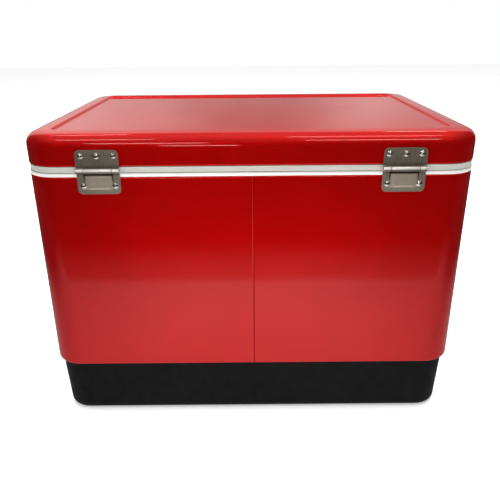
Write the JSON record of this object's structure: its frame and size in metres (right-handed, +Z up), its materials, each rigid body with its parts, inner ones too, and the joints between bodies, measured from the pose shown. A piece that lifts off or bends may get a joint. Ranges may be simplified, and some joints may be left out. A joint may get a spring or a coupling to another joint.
{
  "type": "insulated drinks cooler chest",
  "caption": "Insulated picnic cooler chest with a painted steel jacket and lid, black moulded base, rear hinges, front hasp, side bail handles, bottle opener and screw-capped drain.",
  "frame": {"origin": "centre of the base's footprint, on the floor", "axes": "+X to the right side with the drain, seen from the front; +Y to the back with the hinges; +Z up"},
  "size_m": [0.65, 0.4529, 0.4235],
  "materials": {
    "red_paint": "gloss",
    "white_plastic": "satin",
    "black_plastic": "matt",
    "foam": "matt",
    "stainless_sheet": "brushed",
    "steel_fasteners": "satin",
    "steel_rod": "polished",
    "opener_casting": "satin",
    "grip_plastic": "satin",
    "drain_plastic": "satin",
    "rubber": "matt"
  },
  "bodies": {
    "chest": {"body_jacket": "red_paint", "body_foam": "foam", "body_liner": "white_plastic", "base_tray": "black_plastic", "hinge_left_body_leaf": "stainless_sheet", "hinge_left_pin": "steel_fasteners", "hinge_left_body_rivets": "steel_fasteners", "hinge_right_body_leaf": "stainless_sheet", "hinge_right_pin": "steel_fasteners", "hinge_right_body_rivets": "steel_fasteners", "latch_keeper": "stainless_sheet", "latch_keeper_screws": "steel_fasteners", "bottle_opener": "opener_casting", "bottle_opener_screws": "steel_fasteners", "handle_left_front_bracket": "stainless_sheet", "handle_left_rear_bracket": "stainless_sheet", "handle_left_screws": "steel_fasteners", "handle_right_front_bracket": "stainless_sheet", "handle_right_rear_bracket": "stainless_sheet", "handle_right_screws": "steel_fasteners", "drain_spout": "drain_plastic", "drain_gasket": "rubber", "drain_nut": "white_plastic"},
    "lid": {"lid_shell": "red_paint", "lid_foam": "foam", "lid_liner": "white_plastic", "hinge_left_lid_leaf": "stainless_sheet", "hinge_left_lid_rivets": "steel_fasteners", "hinge_left_lid_screw": "steel_fasteners", "hinge_right_lid_leaf": "stainless_sheet", "hinge_right_lid_rivets": "steel_fasteners", "hinge_right_lid_screw": "steel_fasteners", "latch_lid_plate": "stainless_sheet", "latch_lid_rivets": "steel_fasteners", "latch_pin": "steel_fasteners"},
    "latch": {"latch_hasp": "stainless_sheet"},
    "handle_left": {"handle_left_bail": "steel_rod", "handle_left_grip": "grip_plastic"},
    "handle_right": {"handle_right_bail": "steel_rod", "handle_right_grip": "grip_plastic"},
    "drain_seal": {"drain_cap_seal": "rubber"},
    "drain_cap": {"drain_cap": "drain_plastic"}
  },
  "joints": [
    {"name": "lid_hinge", "type": "hinge", "parent": "chest", "child": "lid", "pos_m": [0, 0.21445, 0.3773], "axis": [-1, 0, 0], "range_deg": [0, 95]},
    {"name": "latch_swing", "type": "hinge", "parent": "lid", "child": "latch", "pos_m": [0, -0.21445, 0.3845], "axis": [-1, 0, 0], "range_deg": [0, 150]},
    {"name": "handle_left_swing", "type": "hinge", "parent": "chest", "child": "handle_left", "pos_m": [-0.312, 0, 0.3], "axis": [0, 1, 0], "range_deg": [0, 100]},
    {"name": "handle_right_swing", "type": "hinge", "parent": "chest", "child": "handle_right", "pos_m": [0.312, 0, 0.3], "axis": [0, -1, 0], "range_deg": [0, 100]},
    {"name": "drain_cap_travel", "type": "slide", "parent": "chest", "child": "drain_seal", "axis": [1, 0, 0], "range_m": [0, 0.012]},
    {"name": "drain_cap_turn", "type": "hinge", "parent": "drain_seal", "child": "drain_cap", "pos_m": [0.31, 0, 0.064], "axis": [1, 0, 0], "range_deg": [0, 1080]}
  ],
  "couplings": [
    {"joint": "drain_cap_travel", "follows": "drain_cap_turn", "m_per_rad": 0.00063661}
  ]
}
